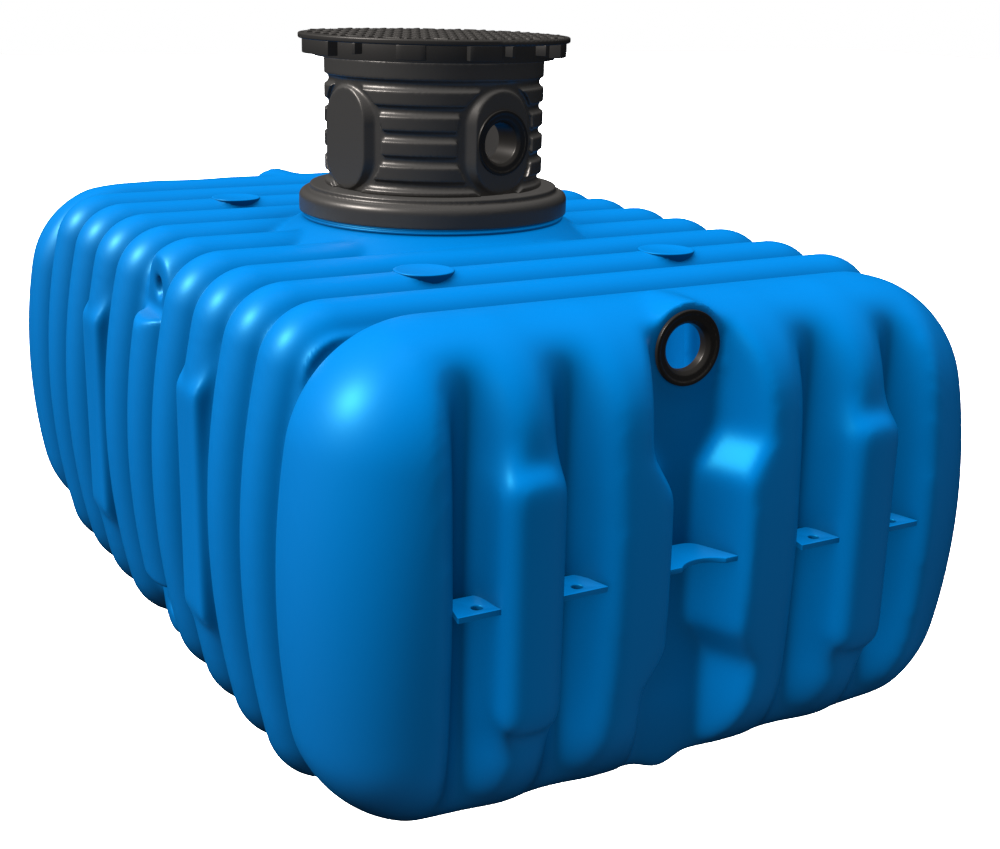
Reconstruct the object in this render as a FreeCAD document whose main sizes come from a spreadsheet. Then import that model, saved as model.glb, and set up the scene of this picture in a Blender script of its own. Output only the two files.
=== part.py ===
import FreeCAD
import Part
import Sketcher
import math
import os

# Flat underground water tank: a ribbed plastic barrel between two grooved ends, with an
# access shaft and a round cover. Heights are measured from the tank's mid-plane while the
# pieces are built, and every finished piece is lifted by half the tank's height.

doc = FreeCAD.newDocument("water_tank")
sheet = doc.addObject("Spreadsheet::Sheet", "Sizes")
sizes = [
    # cross-section of the tank over the rib crests
    ("half_width", 960),
    ("half_height", 605),
    ("corner_radius", 320),
    ("rib_corner_radius", 165),
    ("side_bow_radius", 2100),
    ("wall", 10),
    # ribs round the barrel
    ("rib_pitch", 226),
    ("rib_count", 9),
    ("rib_depth", 60),
    ("valley_radius", 30),
    # straight columns on the side walls
    ("side_column_rib", 2),
    ("side_column_inset", 17),
    ("side_column_root", 80),
    ("side_column_half_width", 76),
    ("side_column_flare", 12),
    ("side_column_half_height", 305),
    ("side_column_ramp", 85),
    ("side_column_round", 12),
    # notches with lifting eyes in the shoulders of the middle rib
    ("eye_inset", 104),
    ("eye_drop", 132),
    ("eye_radius", 30),
    ("eye_plate", 24),
    ("notch_drop", 207),
    ("notch_half_width", 104),
    ("notch_round", 24),
    ("notch_lip", 45),
    ("notch_lip_inset", 30),
    # round pads on the top ribs
    ("pad_x", 376),
    ("pad_rib", 3),
    ("pad_radius", 78),
    ("pad_root_radius", 32),
    # neck under the shaft
    ("neck_bore", 300),
    ("neck_flare_radius", 530),
    ("neck_radius", 392),
    ("neck_rise", 21),
    ("collar_step", 10),
    # end walls
    ("end_length", 310),
    ("end_bow_radius", 3000),
    ("roll_radius", 270),
    ("groove_inner_x", 348),
    ("groove_outer_x", 606),
    ("groove_half_width", 68),
    ("groove_floor_half_width", 36),
    ("groove_depth", 140),
    ("groove_round", 30),
    ("lip_round", 28),
    ("end_column_proud", 22),
    ("end_column_half_width", 90),
    ("end_column_half_height", 255),
    ("end_column_ramp", 120),
    ("end_column_root", 60),
    ("recess_half_width", 176),
    ("recess_floor_half_width", 112),
    ("recess_depth", 158),
    ("recess_round", 40),
    ("hip_inset", 62),
    ("hip_half_height", 195),
    ("hip_ramp", 100),
    # pipe bosses and rubber pipe seals
    ("boss_drop", 103),
    ("boss_radius", 112),
    ("lower_boss_radius", 102),
    ("boss_depth", 150),
    ("lower_boss_depth", 156),
    ("boss_length", 150),
    ("seal_bore", 76),
    ("seal_flange_radius", 91),
    ("seal_flange", 8),
    ("seal_depth", 34),
    ("seal_mouth_radius", 66),
    ("seal_lip_radius", 55),
    ("seal_lip", 12),
    ("seal_fit", 0.3),
    # bracket plates in the grooves and webs in the recesses
    ("bracket_plate", 14),
    ("bracket_inset", 15),
    ("bracket_hole_inset", 47),
    ("bracket_hole_radius", 13),
    ("web_inset", 32),
    ("web_hollow_radius", 90),
    # access shaft
    ("collar_height", 18),
    ("flange_radius", 400),
    ("flange_band", 62),
    ("flange_edge", 22),
    ("flange_step_radius", 368),
    ("spigot_drop", 60),
    ("shaft_fit", 3),
    ("shaft_radius", 323),
    ("shaft_bore", 300),
    ("flange_height", 78),
    ("shaft_height", 368),
    ("shaft_groove_rise", 28),
    ("shaft_groove_pitch", 69),
    ("shaft_grooves", 5),
    ("shaft_groove_radius", 15),
    ("shaft_groove_depth", 13),
    ("shaft_turn", 10),
    ("facet_reach", 319),
    ("facet_half_width", 93),
    ("facet_height", 284),
    ("facet_rise", 148),
    ("facet_margin", 45),
    ("facet_slope", 30),
    # cover
    ("cover_radius", 397),
    ("cover_plate", 16),
    ("cover_edge", 5),
    ("cover_height", 64),
    ("skirt_radius", 352),
    ("skirt_wall", 40),
    ("lug_reach", 386),
    ("lug_height", 40),
    ("gusset_height", 30),
    # sizes that follow from the others
    ("rib_crest_radius", "=rib_pitch / (2 * sin(2 * atan(2 * rib_depth / rib_pitch))) - valley_radius"),
    ("corner_reach", "=half_width - side_bow_radius + sqrt((side_bow_radius - rib_corner_radius)^2"
                     " - (half_height - rib_corner_radius)^2)"),
    ("corner_start", "=(half_height - rib_corner_radius) * side_bow_radius / (side_bow_radius - rib_corner_radius)"),
    ("side_column_face", "=half_width - side_column_inset"),
    ("eye_reach", "=half_width - eye_inset"),
    ("eye_height", "=half_height - eye_drop"),
    ("notch_bottom", "=half_height - notch_drop"),
    ("notch_lip_reach", "=half_width - notch_lip_inset"),
    ("neck_top", "=half_height + neck_rise"),
    ("neck_flare_drop", "=rib_depth + wall / 2"),
    ("shell_end", "=rib_pitch * rib_count / 2"),
    ("barrel_end", "=shell_end + rib_pitch / 2"),
    ("end_rib_start", "=shell_end + rib_pitch"),
    ("end_reach", "=barrel_end + end_length"),
    ("groove_floor", "=end_reach - groove_depth"),
    ("end_column_face", "=end_reach + end_column_proud"),
    ("recess_floor", "=end_reach - recess_depth"),
    ("boss_height", "=half_height - boss_drop"),
    ("boss_face", "=end_reach - boss_depth"),
    ("lower_boss_face", "=end_reach - lower_boss_depth"),
    ("boss_root", "=boss_face - boss_length"),
    ("bracket_front", "=end_reach - bracket_inset"),
    ("bracket_back", "=groove_floor + groove_round"),
    ("bracket_hole_reach", "=end_reach - bracket_hole_inset"),
    ("web_front", "=end_reach - web_inset"),
    ("flange_bottom", "=neck_top + collar_height"),
    ("shaft_bottom", "=flange_bottom + flange_height"),
    ("shaft_top", "=shaft_bottom + shaft_height"),
    ("shaft_groove_first", "=shaft_bottom + shaft_groove_rise"),
    ("facet_middle", "=shaft_bottom + facet_rise"),
    ("cover_top", "=shaft_top + cover_height"),
]
for row, (name, value) in enumerate(sizes, start=1):
    sheet.set("A%d" % row, name)
    sheet.set("B%d" % row, str(value))
    sheet.setAlias("B%d" % row, name)
doc.recompute()

UP = FreeCAD.Vector(0, 0, 1)
LENGTHWISE = FreeCAD.Vector(0, 1, 0)
SIDEWAYS = FreeCAD.Vector(1, 0, 0)
CENTRE = FreeCAD.Vector(0, 0, 0)
nodes = []


def size(name):
    return float(getattr(sheet, name))


def bind(item, **expressions):
    for name, expression in expressions.items():
        item.setExpression(name, expression)
    return item


def place(item, x="0", y="0", z="0", axis=None, angle=0):
    if axis is not None:
        item.Placement = FreeCAD.Placement(CENTRE, FreeCAD.Rotation(axis, angle))
    for letter, expression in (("x", x), ("y", y), ("z", z)):
        item.setExpression("Placement.Base." + letter, expression)
    return item


def cylinder(name, radius, height, x="0", y="0", z="0", axis=None, angle=0):
    item = doc.addObject("Part::Cylinder", name)
    bind(item, Radius=radius, Height=height)
    return place(item, x, y, z, axis, angle)


def cone(name, low_radius, high_radius, height, x="0", y="0", z="0", axis=None, angle=0):
    item = doc.addObject("Part::Cone", name)
    bind(item, Radius1=low_radius, Radius2=high_radius, Height=height)
    return place(item, x, y, z, axis, angle)


def torus(name, large, small, x="0", y="0", z="0", axis=None, angle=0):
    item = doc.addObject("Part::Torus", name)
    bind(item, Radius1=large, Radius2=small)
    return place(item, x, y, z, axis, angle)


def box(name, length, width, height, x="0", y="0", z="0"):
    item = doc.addObject("Part::Box", name)
    bind(item, Length=length, Width=width, Height=height)
    return place(item, x, y, z)


def wedge(name, near, far):
    # near and far hold y, x low, x high, z low and z high of the two facing rectangles
    item = doc.addObject("Part::Wedge", name)
    bind(item, Ymin=near[0], Xmin=near[1], Xmax=near[2], Zmin=near[3], Zmax=near[4])
    bind(item, Ymax=far[0], X2min=far[1], X2max=far[2], Z2min=far[3], Z2max=far[4])
    return item


def fuse(name, items):
    item = doc.addObject("Part::MultiFuse", name)
    item.Shapes = items
    return item


def cut(name, base, tool):
    item = doc.addObject("Part::Cut", name)
    item.Base = base
    item.Tool = tool
    return item


def common(name, items):
    item = doc.addObject("Part::MultiCommon", name)
    item.Shapes = items
    return item


def group(name, items):
    item = doc.addObject("Part::Compound", name)
    item.Links = items
    return item


def mirror(name, source, normal):
    item = doc.addObject("Part::Mirroring", name)
    item.Source = source
    item.Base = CENTRE
    item.Normal = normal
    return item


def rounded(name, base, radius, wanted):
    # edges are picked by where they lie, so the shape is worked out first
    doc.recompute()
    item = doc.addObject("Part::Fillet", name)
    item.Base = base
    picked = [index for index, edge in enumerate(base.Shape.Edges, start=1) if wanted(edge)]
    item.Edges = [(index, radius, radius) for index in picked]
    return item


def finished(label, item):
    # a finished piece stands half a tank's height above the mid-plane
    item.Label = label
    item.setExpression("Placement.Base.z", "Sizes.half_height")
    nodes.append(item)
    return item


def arc(cx, cy, radius, start, end):
    circle = Part.Circle(FreeCAD.Vector(cx, cy, 0), UP, radius)
    return Part.ArcOfCircle(circle, math.radians(start), math.radians(end))


def line(x1, y1, x2, y2):
    return Part.LineSegment(FreeCAD.Vector(x1, y1, 0), FreeCAD.Vector(x2, y2, 0))


def rule(sketch, kind, *where):
    sketch.addConstraint(Sketcher.Constraint(kind, *where))


def dimension(sketch, name, expression, kind, *where):
    index = sketch.addConstraint(Sketcher.Constraint(kind, *where))
    sketch.renameConstraint(index, name)
    sketch.setExpression("Constraints." + name, expression)


def body_sketch(body, plane, name):
    sketch = body.newObject("Sketcher::SketchObject", name)
    support = [part for part in body.Origin.OriginFeatures if part.Role == plane][0]
    sketch.AttachmentSupport = [(support, "")]
    sketch.MapMode = "FlatFace"
    return sketch


def section_corner(corner, inset):
    # centre of a rounded corner, centre of the side's bow, and the angle where the two meet
    radius = size(corner) - inset
    bow = size("side_bow_radius") - inset
    height = size("half_height") - inset - radius
    bow_centre = size("half_width") - inset - bow
    reach = bow_centre + math.sqrt((bow - radius) ** 2 - height ** 2)
    return reach, height, bow_centre, math.degrees(math.atan2(height, reach - bow_centre))


def crest_radius():
    # the crest and valley arcs of a rib meet at one tangent
    slope = 2 * math.atan(2 * size("rib_depth") / size("rib_pitch"))
    return size("rib_pitch") / (2 * math.sin(slope)) - size("valley_radius"), math.degrees(slope)


# Ribbed wall over the upper half of a cross-section: one rib, valley to valley, swept over the
# rounded outline and repeated along the tank

def ribbed_wall(name, corner, begin, count):
    body = doc.addObject("PartDesign::Body", name)
    path = body_sketch(body, "XZ_Plane", name + "_outline")
    corner_x, corner_z, bow_x, turn = section_corner(corner, 0)
    path.addGeometry([
        arc(bow_x, 0, size("side_bow_radius"), 0, turn),
        arc(corner_x, corner_z, size(corner), turn, 90),
        line(corner_x, size("half_height"), -corner_x, size("half_height")),
        arc(-corner_x, corner_z, size(corner), 90, 180 - turn),
        arc(-bow_x, 0, size("side_bow_radius"), 180 - turn, 180),
    ], False)
    for piece in range(4):
        rule(path, "Tangent", piece, 2, piece + 1, 1)
    for piece, end in ((0, 1), (0, 3), (4, 2), (4, 3)):
        rule(path, "PointOnObject", piece, end, -1)
    rule(path, "Equal", 0, 4)
    rule(path, "Equal", 1, 3)
    rule(path, "Symmetric", 2, 1, 2, 2, -2)
    dimension(path, "bow", "Sizes.side_bow_radius", "Radius", 0, size("side_bow_radius"))
    dimension(path, "corner", "Sizes." + corner, "Radius", 1, size(corner))
    dimension(path, "rise", "Sizes.half_height", "DistanceY", -1, 1, 2, 1, size("half_height"))
    dimension(path, "reach", "Sizes.half_width", "DistanceX", -1, 1, 0, 1, size("half_width"))

    rib = body_sketch(body, "XY_Plane", name + "_rib")
    rib_crest, swing = crest_radius()
    valley = size("half_width") - size("rib_depth")
    valley_x = valley + size("valley_radius")
    crest_x = size("half_width") - rib_crest
    start = -size(begin)
    middle = start + size("rib_pitch") / 2
    stop = start + size("rib_pitch")
    rib.addGeometry([
        arc(valley_x, start, size("valley_radius"), 180 - swing, 180),
        arc(crest_x, middle, rib_crest, -swing, swing),
        arc(valley_x, stop, size("valley_radius"), 180, 180 + swing),
        line(valley, stop, valley - size("wall"), stop),
        arc(valley_x, stop, size("valley_radius") + size("wall"), 180, 180 + swing),
        arc(crest_x, middle, rib_crest - size("wall"), -swing, swing),
        arc(valley_x, start, size("valley_radius") + size("wall"), 180 - swing, 180),
        line(valley - size("wall"), start, valley, start),
    ], False)
    rule(rib, "Tangent", 0, 1, 1, 1)
    rule(rib, "Tangent", 1, 2, 2, 2)
    for first, first_end, second, second_end in ((2, 1, 3, 1), (3, 2, 4, 1), (6, 2, 7, 1), (7, 2, 0, 2)):
        rule(rib, "Coincident", first, first_end, second, second_end)
    for outer_arc, inner_arc in ((0, 6), (1, 5), (2, 4)):
        rule(rib, "Coincident", inner_arc, 3, outer_arc, 3)
    rule(rib, "Tangent", 4, 2, 5, 2)
    rule(rib, "Tangent", 5, 1, 6, 1)
    rule(rib, "Horizontal", 3)
    rule(rib, "Horizontal", 7)
    rule(rib, "Horizontal", 0, 2, 0, 3)
    rule(rib, "Horizontal", 2, 1, 2, 3)
    rule(rib, "Vertical", 0, 2, 2, 1)
    rule(rib, "Equal", 0, 2)
    dimension(rib, "valley", "Sizes.valley_radius", "Radius", 0, size("valley_radius"))
    dimension(rib, "crest", "Sizes.rib_crest_radius", "Radius", 1, rib_crest)
    dimension(rib, "foot", "Sizes.half_width - Sizes.rib_depth", "DistanceX", -1, 1, 0, 2, valley)
    dimension(rib, "pitch", "Sizes.rib_pitch", "DistanceY", 0, 2, 2, 1, size("rib_pitch"))
    dimension(rib, "start", "Sizes." + begin, "DistanceY", 0, 2, -1, 1, -start)
    dimension(rib, "thickness", "Sizes.wall", "DistanceX", 3, 2, 3, 1, size("wall"))

    sweep = body.newObject("PartDesign::AdditivePipe", name + "_sweep")
    sweep.Profile = rib
    sweep.Spine = (path, ["Edge%d" % edge for edge in range(1, 6)])
    body.Tip = sweep
    doc.recompute()
    if count > 1:
        row = body.newObject("PartDesign::LinearPattern", name + "_row")
        row.Originals = [sweep]
        row.Direction = (rib, ["V_Axis"])
        bind(row, Length="Sizes.rib_pitch * (Sizes.rib_count - 1)", Occurrences="Sizes.rib_count")
        body.Tip = row
        doc.recompute()
    return body


def section_loop(name, corner, less, inset, y):
    # whole outline of a cross-section, inset by an expression that comes to the number given as less
    sketch = doc.addObject("Sketcher::SketchObject", name)
    sketch.Placement = FreeCAD.Placement(CENTRE, FreeCAD.Rotation(SIDEWAYS, 90))
    sketch.setExpression("Placement.Base.y", y)
    cx, cz, bow_x, turn = section_corner(corner, less)
    radius = size(corner) - less
    bow = size("side_bow_radius") - less
    top = size("half_height") - less
    sketch.addGeometry([
        arc(bow_x, 0, bow, -turn, turn),
        arc(cx, cz, radius, turn, 90),
        line(cx, top, -cx, top),
        arc(-cx, cz, radius, 90, 180 - turn),
        arc(-bow_x, 0, bow, 180 - turn, 180 + turn),
        arc(-cx, -cz, radius, 180 + turn, 270),
        line(-cx, -top, cx, -top),
        arc(cx, -cz, radius, 270, 360 - turn),
    ], False)
    for piece in range(7):
        rule(sketch, "Tangent", piece, 2, piece + 1, 1)
    rule(sketch, "Coincident", 7, 2, 0, 1)
    rule(sketch, "PointOnObject", 0, 3, -1)
    rule(sketch, "PointOnObject", 4, 3, -1)
    rule(sketch, "Equal", 0, 4)
    for other in (3, 5, 7):
        rule(sketch, "Equal", 1, other)
    rule(sketch, "Symmetric", 2, 1, 2, 2, -2)
    rule(sketch, "Horizontal", 6)
    dimension(sketch, "bow", "Sizes.side_bow_radius - " + inset, "Radius", 0, bow)
    dimension(sketch, "corner", "Sizes.%s - %s" % (corner, inset), "Radius", 1, radius)
    dimension(sketch, "rise", "Sizes.half_height - " + inset, "DistanceY", -1, 1, 2, 1, top)
    dimension(sketch, "reach", "Sizes.side_bow_radius - Sizes.half_width", "DistanceX", 0, 3, -1, 1, -bow_x)
    return sketch


def run_out(name, sketch, length):
    # a cross-section drawn out towards the front
    run = doc.addObject("Part::Extrusion", name)
    run.Base = sketch
    run.DirMode = "Custom"
    run.Dir = FreeCAD.Vector(0, -1, 0)
    run.Solid = True
    bind(run, LengthFwd=length)
    return run


# Barrel: nine ribs with tight shoulders, closed off at each end by a flat rim, because the end
# walls that follow have rounder shoulders

barrel = ribbed_wall("barrel_wall", "rib_corner_radius", "shell_end", 9)
rim_y = "-Sizes.shell_end + Sizes.wall"
rim_outside = run_out("rim_outside", section_loop("rim_outline", "rib_corner_radius",
                                                  size("rib_depth") + size("wall") / 2,
                                                  "(Sizes.rib_depth + Sizes.wall / 2)", rim_y), "Sizes.wall")
rim_inside = run_out("rim_inside", section_loop("rim_hole", "corner_radius", size("rib_depth") + size("wall"),
                                                "(Sizes.rib_depth + Sizes.wall)", rim_y), "Sizes.wall")
upper_space = box("upper_space", "4 * Sizes.half_width", "4 * Sizes.barrel_end", "2 * Sizes.half_height",
                  "-2 * Sizes.half_width", "-2 * Sizes.barrel_end", "0")
rim = common("barrel_rim", [cut("rim_ring", rim_outside, rim_inside), upper_space])


def opposite(item, normal):
    return mirror(item.Name + "_opposite", item, normal)


def four(item):
    # the piece with its mirror images across the tank and along it
    pair = [item, opposite(item, SIDEWAYS)]
    return pair + [opposite(piece, LENGTHWISE) for piece in pair]


# Side columns: the crest of the rib that carries them is cut flat, with a wall behind the flat

column = wedge(
    "side_column",
    ("Sizes.half_width - Sizes.side_column_root", "-Sizes.side_column_half_width - Sizes.side_column_flare",
     "Sizes.side_column_half_width + Sizes.side_column_flare", "0",
     "Sizes.side_column_half_height + Sizes.side_column_ramp"),
    ("Sizes.side_column_face", "-Sizes.side_column_half_width", "Sizes.side_column_half_width",
     "0", "Sizes.side_column_half_height"))
column_y = "Sizes.side_column_rib * Sizes.rib_pitch"
place(column, "0", column_y, "0", UP, -90)


def column_edge(edge):
    # the two upright edges of the column's face and the edge over its ramp
    return abs(edge.BoundBox.XMin - size("side_column_face")) < 0.01 and edge.BoundBox.ZMax > 1


column_soft = rounded("side_column_soft", column, size("side_column_round"), column_edge)
behind_side = torus("behind_side", "Sizes.side_bow_radius - Sizes.rib_crest_radius",
                    "Sizes.rib_crest_radius - Sizes.wall", "Sizes.half_width - Sizes.side_bow_radius",
                    column_y, "0", SIDEWAYS, 90)
column_space = box("column_space", "Sizes.side_column_face - Sizes.wall - Sizes.half_width / 2",
                   "2 * Sizes.rib_pitch", "Sizes.half_height", "Sizes.half_width / 2",
                   column_y + " - Sizes.rib_pitch", "-Sizes.wall")
column_skin = cut("column_skin", column_soft, common("behind_column", [behind_side, column_space]))
column_crest = box("column_crest", "Sizes.half_width", "Sizes.rib_pitch",
                   "Sizes.side_column_half_height + Sizes.wall", "Sizes.side_column_face",
                   column_y + " - Sizes.rib_pitch / 2", "-Sizes.wall")

# Shoulder notches of the middle rib: the rib is cut back to an upright web with a round lifting
# eye, and starts again below it with a round lip; the notch keeps an even wall behind it

def notch_form(name, grow, half):
    sketch = doc.addObject("Sketcher::SketchObject", name + "_profile")
    sketch.Placement = FreeCAD.Placement(CENTRE, FreeCAD.Rotation(SIDEWAYS, 90))
    sketch.setExpression("Placement.Base.y", half)
    sketch.addGeometry([
        line(856, 645, 856, 422),
        arc(880, 422, 24, 180, 270),
        line(880, 398, 885, 398),
        arc(885, 353, 45, 0, 90),
        line(930, 353, 1000, 353),
        line(1000, 353, 1000, 645),
        line(1000, 645, 856, 645),
    ], False)
    rule(sketch, "Tangent", 0, 2, 1, 1)
    rule(sketch, "Tangent", 1, 2, 2, 1)
    rule(sketch, "Tangent", 2, 2, 3, 2)
    rule(sketch, "Coincident", 3, 1, 4, 1)
    rule(sketch, "Horizontal", 3, 3, 3, 1)
    for edge in (4, 5):
        rule(sketch, "Coincident", edge, 2, edge + 1, 1)
    rule(sketch, "Coincident", 6, 2, 0, 1)
    for edge in (0, 5):
        rule(sketch, "Vertical", edge)
    for edge in (2, 4, 6):
        rule(sketch, "Horizontal", edge)
    dimension(sketch, "web", "Sizes.eye_reach - " + grow, "DistanceX", -1, 1, 0, 1, 856)
    dimension(sketch, "top", "Sizes.half_height + 40", "DistanceY", -1, 1, 0, 1, 645)
    dimension(sketch, "trough", "Sizes.notch_round + " + grow, "Radius", 1, 24)
    dimension(sketch, "ledge", "Sizes.notch_bottom - " + grow, "DistanceY", -1, 1, 2, 1, 398)
    dimension(sketch, "lip", "Sizes.notch_lip - " + grow, "Radius", 3, 45)
    dimension(sketch, "lip_end", "Sizes.notch_lip_reach - " + grow, "DistanceX", -1, 1, 3, 1, 930)
    dimension(sketch, "outside", "Sizes.half_width + 40", "DistanceX", -1, 1, 5, 1, 1000)
    form = doc.addObject("Part::Extrusion", name)
    form.Base = sketch
    form.DirMode = "Custom"
    form.Dir = FreeCAD.Vector(0, -1, 0)
    form.Solid = True
    bind(form, LengthFwd="2 * " + half)
    return form


eye = cylinder("eye", "Sizes.eye_radius", "Sizes.eye_plate", "Sizes.eye_reach - Sizes.eye_plate + 1", "0",
               "Sizes.eye_height", LENGTHWISE, 90)
notch_hollow = fuse("notch_hollow", [notch_form("notch", "0", "Sizes.notch_half_width"), eye])
eye_boss = cylinder("eye_boss", "Sizes.eye_radius + Sizes.wall", "Sizes.eye_plate + Sizes.wall",
                    "Sizes.eye_reach - Sizes.eye_plate - Sizes.wall", "0", "Sizes.eye_height", LENGTHWISE, 90)
lining = fuse("notch_lining", [notch_form("notch_wall", "Sizes.wall",
                                          "(Sizes.notch_half_width + Sizes.wall)"), eye_boss])
beside = box("beside_shoulder", "Sizes.half_width", "2 * Sizes.rib_pitch", "Sizes.corner_start",
             "Sizes.half_width / 2", "-Sizes.rib_pitch", "0")
above = box("above_shoulder", "Sizes.half_width", "2 * Sizes.rib_pitch", "Sizes.half_height",
            "Sizes.half_width / 2", "-Sizes.rib_pitch", "Sizes.corner_start")
inside_side = torus("inside_side", "Sizes.side_bow_radius - Sizes.rib_crest_radius",
                    "Sizes.rib_crest_radius - Sizes.wall / 2", "Sizes.half_width - Sizes.side_bow_radius", "0", "0",
                    SIDEWAYS, 90)
round_rib = doc.addObject("Sketcher::SketchObject", "round_rib")
round_rib.setExpression("Placement.Base.x", "Sizes.corner_reach")
round_rib.setExpression("Placement.Base.z", "Sizes.half_height - Sizes.rib_corner_radius")
round_rib.addGeometry([
    line(0, -120, 40, -120),
    arc(40, 0, 120, -90, 90),
    line(40, 120, 0, 120),
    line(0, 120, 0, -120),
], False)
rule(round_rib, "Tangent", 0, 2, 1, 1)
rule(round_rib, "Tangent", 1, 2, 2, 1)
rule(round_rib, "Coincident", 2, 2, 3, 1)
rule(round_rib, "Coincident", 3, 2, 0, 1)
rule(round_rib, "Horizontal", 0)
rule(round_rib, "Horizontal", 2)
rule(round_rib, "PointOnObject", 0, 1, -2)
rule(round_rib, "PointOnObject", 2, 2, -2)
rule(round_rib, "PointOnObject", 1, 3, -1)
dimension(round_rib, "round", "Sizes.rib_crest_radius - Sizes.wall / 2", "Radius", 1, 120)
dimension(round_rib, "offset", "Sizes.rib_corner_radius - Sizes.rib_crest_radius", "DistanceX", -1, 1, 1, 3, 40)
inside_shoulder = doc.addObject("Part::Revolution", "inside_shoulder")
inside_shoulder.Source = round_rib
inside_shoulder.Axis = LENGTHWISE
inside_shoulder.Angle = 360
inside_shoulder.Solid = True
inside_shoulder.setExpression("Base.x", "Sizes.corner_reach")
inside_shoulder.setExpression("Base.z", "Sizes.half_height - Sizes.rib_corner_radius")
notch_pocket = fuse("notch_pocket", [common("notch_pocket_low", [lining, beside, inside_side]),
                                     common("notch_pocket_high", [lining, above, inside_shoulder])])

# Round pads on two ribs, standing on the outside of the wall

pad_y = "Sizes.pad_rib * Sizes.rib_pitch"
pad = cone("pad", "Sizes.pad_root_radius", "Sizes.pad_radius", "Sizes.rib_depth", "Sizes.pad_x", pad_y,
           "Sizes.half_height - Sizes.rib_depth")
under_pad = cylinder("under_pad", "Sizes.rib_crest_radius - Sizes.wall", "4 * Sizes.pad_radius",
                     "Sizes.pad_x - 2 * Sizes.pad_radius", pad_y,
                     "Sizes.half_height - Sizes.rib_crest_radius", LENGTHWISE, 90)
pad_skin = cut("pad_skin", pad, under_pad)

half_raised = fuse("half_raised", [barrel, rim, opposite(rim, LENGTHWISE), notch_pocket,
                                   opposite(notch_pocket, SIDEWAYS)] + four(column_skin) + four(pad_skin))
half_shell = cut("half_shell", half_raised,
                 group("shell_cuts", [notch_hollow, opposite(notch_hollow, SIDEWAYS)] + four(column_crest)))
finished("lower_shell", mirror("lower_half", half_shell, UP))

# Neck of the upper half: a flare over the ribs with the shaft's opening through it

neck_rise = "(Sizes.neck_top - Sizes.half_height + Sizes.neck_flare_drop)"
flare = cone("neck_flare", "Sizes.neck_flare_radius", "Sizes.neck_radius", neck_rise,
             z="Sizes.half_height - Sizes.neck_flare_drop")
flare_inside = cone("neck_flare_inside", "Sizes.neck_flare_radius - 2 * Sizes.wall", "Sizes.neck_bore",
                    neck_rise, z="Sizes.half_height - Sizes.neck_flare_drop - Sizes.wall")
neck_bore = cylinder("neck_opening", "Sizes.neck_bore", "400", z="Sizes.half_height - 200")
finished("upper_shell", cut("upper_half", fuse("upper_raised", [half_shell, flare]),
                            fuse("neck_hollow", [flare_inside, neck_bore])))


# Ends: the cross-section run out to a bowed wall, rolled over its edge and grooved

def flank(half, floor_half, floor, y):
    # half width of a groove with sloping sides at the reach y
    return "(Sizes.%s + (Sizes.%s - Sizes.%s) * (%s - Sizes.%s) / (Sizes.end_reach - Sizes.%s))" % (
        floor_half, half, floor_half, y, floor, floor)


def slope_at(half, floor_half, floor, y):
    # the same half width as a number, at a point's y
    share = (-y - size(floor)) / (size("end_reach") - size(floor))
    return size(floor_half) + (size(half) - size(floor_half)) * share


def along(edge):
    middle = edge.valueAt((edge.FirstParameter + edge.LastParameter) / 2)
    return [vertex.Point for vertex in edge.Vertexes] + [middle]


def hip_outline(name, reach, inset):
    # front view of the waist that narrows the recess at mid-height, drawn at the given reach
    sketch = doc.addObject("Sketcher::SketchObject", name)
    sketch.Placement = FreeCAD.Placement(CENTRE, FreeCAD.Rotation(SIDEWAYS, 90))
    sketch.setExpression("Placement.Base.y", "-" + reach)
    corners = [(100, -190), (100, 190), (160, 290), (240, 290), (240, -290), (160, -290)]
    sketch.addGeometry([line(*corners[corner], *corners[(corner + 1) % 6]) for corner in range(6)], False)
    for corner in range(6):
        rule(sketch, "Coincident", corner, 2, (corner + 1) % 6, 1)
    rule(sketch, "Vertical", 3)
    rule(sketch, "Horizontal", 2)
    rule(sketch, "Horizontal", 4)
    rule(sketch, "Symmetric", 0, 1, 0, 2, -1)
    rule(sketch, "Symmetric", 1, 2, 4, 2, -1)
    side = flank("recess_half_width", "recess_floor_half_width", "recess_floor", reach)
    dimension(sketch, "waist", side + " - Sizes.hip_inset + " + inset, "DistanceX", -1, 1, 0, 1, 100)
    dimension(sketch, "rise", "Sizes.hip_half_height - %s / 2" % inset, "DistanceY", -1, 1, 0, 2, 190)
    dimension(sketch, "slant", "Sizes.hip_inset", "DistanceX", 1, 1, 1, 2, 60)
    dimension(sketch, "ramp", "Sizes.hip_ramp", "DistanceY", 1, 1, 1, 2, 100)
    dimension(sketch, "outside", side + " + Sizes.hip_inset", "DistanceX", -1, 1, 2, 2, 240)
    return sketch


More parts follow.
